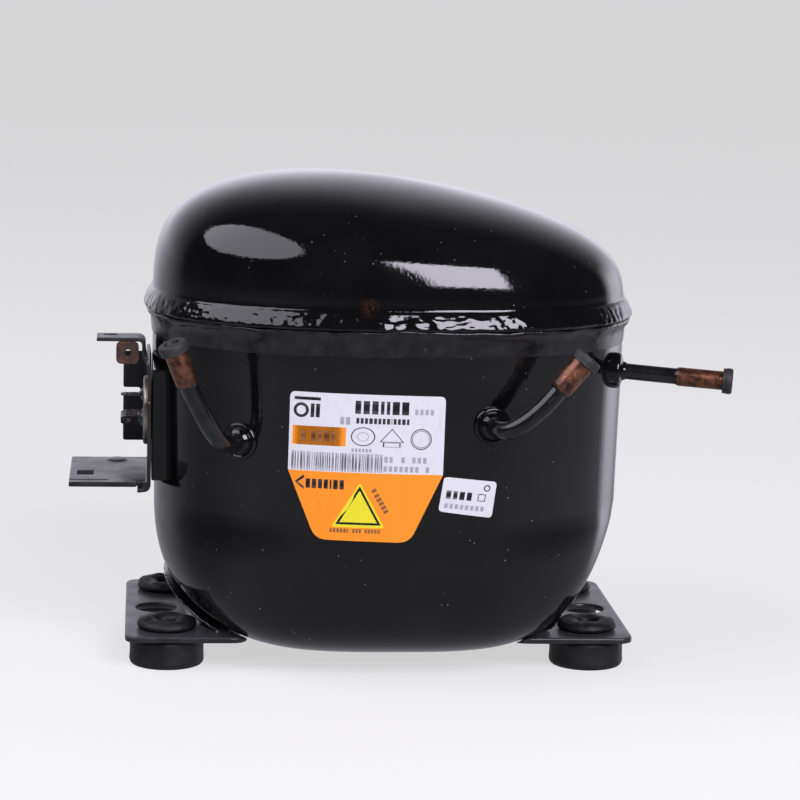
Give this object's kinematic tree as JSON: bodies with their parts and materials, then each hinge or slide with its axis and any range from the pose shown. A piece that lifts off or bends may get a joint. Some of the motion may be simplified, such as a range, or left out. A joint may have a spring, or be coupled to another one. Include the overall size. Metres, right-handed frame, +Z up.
{
  "type": "hermetic reciprocating compressor",
  "caption": "Welded black steel shell on two foot plates with rubber grommets, three plugged copper tubes, a terminal bracket, and a spring-hung motor and piston pump inside.",
  "frame": {"origin": "centre of the 170 mm by 70 mm mounting stud pattern, at floor level under the rubber feet", "axes": "+X along the shell's long side towards the discharge tube, +Y from the labelled front to the back, +Z up"},
  "size_m": [0.2633, 0.1825, 0.1957],
  "materials": {
    "black_paint": "gloss",
    "weld_paint": "gloss",
    "plate_paint": "satin",
    "foot_rubber": "matte",
    "plug_rubber": "matte",
    "tube_copper": "weathered",
    "header_steel": "weathered",
    "pin_steel": "satin",
    "rusty_steel": "rusty",
    "label_paper": "printed",
    "lamination_steel": "satin",
    "winding_copper": "enamelled",
    "zinc_steel": "bright",
    "spring_steel": "bright",
    "grey_iron": "machined",
    "cast_aluminium": "cast",
    "black_oxide": "black oxide",
    "muffler_plastic": "matte"
  },
  "bodies": {
    "shell": {"lower_shell": "black_paint", "upper_shell": "black_paint", "seam_weld": "weld_paint", "foot_plate_left": "plate_paint", "foot_plate_right": "plate_paint", "grommet_front_left": "foot_rubber", "grommet_front_right": "foot_rubber", "grommet_rear_left": "foot_rubber", "grommet_rear_right": "foot_rubber", "suction_tube": "tube_copper", "process_tube": "tube_copper", "discharge_tube": "tube_copper", "suction_plug": "plug_rubber", "process_plug": "plug_rubber", "discharge_plug": "plug_rubber", "suction_collar": "black_paint", "process_collar": "black_paint", "discharge_collar": "black_paint", "terminal_header": "header_steel", "terminal_pin_1": "pin_steel", "terminal_pin_2": "pin_steel", "terminal_pin_3": "pin_steel", "terminal_bracket": "plate_paint", "earth_tab": "rusty_steel", "rating_label": "label_paper", "small_label": "label_paper", "spring_pin_1": "zinc_steel", "spring_pin_2": "zinc_steel", "spring_pin_3": "zinc_steel", "spring_pin_4": "zinc_steel", "suspension_spring_1": "spring_steel", "suspension_spring_2": "spring_steel", "suspension_spring_3": "spring_steel", "suspension_spring_4": "spring_steel"},
    "pump_unit": {"stator_core": "lamination_steel", "winding_bottom": "winding_copper", "winding_top": "winding_copper", "stator_bolt_1": "zinc_steel", "stator_bolt_2": "zinc_steel", "stator_bolt_3": "zinc_steel", "stator_bolt_4": "zinc_steel", "crankcase": "grey_iron", "suction_reed": "spring_steel", "valve_plate": "zinc_steel", "discharge_reed": "spring_steel", "cylinder_head": "cast_aluminium", "head_bolt_1": "black_oxide", "head_bolt_2": "black_oxide", "head_bolt_3": "black_oxide", "head_bolt_4": "black_oxide", "suction_muffler": "muffler_plastic", "discharge_line": "tube_copper"},
    "crank": {"crankshaft": "grey_iron", "counterweight": "zinc_steel", "rotor": "lamination_steel", "oil_pickup": "zinc_steel"},
    "slider": {"slider_block": "grey_iron"},
    "carrier": {"counterweight_rivet": "zinc_steel"},
    "piston": {"piston_slide_tube": "grey_iron"}
  },
  "joints": [
    {"name": "suspension_bounce", "type": "slide", "parent": "shell", "child": "pump_unit", "axis": [0, 0, 1], "range_m": [-0.0025, 0.0025], "stiffness_N_per_m": 20000, "springref_m": 0.00287, "deforming": ["suspension_spring_1", "suspension_spring_2", "suspension_spring_3", "suspension_spring_4", "discharge_line"]},
    {"name": "crankshaft_spin", "type": "hinge", "parent": "pump_unit", "child": "crank", "pos_m": [0.014, 0, 0.126], "axis": [0, 0, 1], "continuous": true},
    {"name": "slider_turn", "type": "hinge", "parent": "crank", "child": "slider", "pos_m": [0.0035, 0, 0.146], "axis": [0, 0, 1], "continuous": true},
    {"name": "carrier_turn", "type": "hinge", "parent": "crank", "child": "carrier", "pos_m": [0.00875, 0, 0.168], "axis": [0, 0, 1], "continuous": true},
    {"name": "piston_stroke", "type": "hinge", "parent": "carrier", "child": "piston", "pos_m": [0.0035, 0, 0.146], "axis": [0, 0, 1], "continuous": true}
  ],
  "couplings": [
    {"joint": "slider_turn", "follows": "crankshaft_spin", "ratio": -1},
    {"joint": "carrier_turn", "follows": "crankshaft_spin", "ratio": -2},
    {"joint": "piston_stroke", "follows": "crankshaft_spin", "ratio": 1}
  ]
}
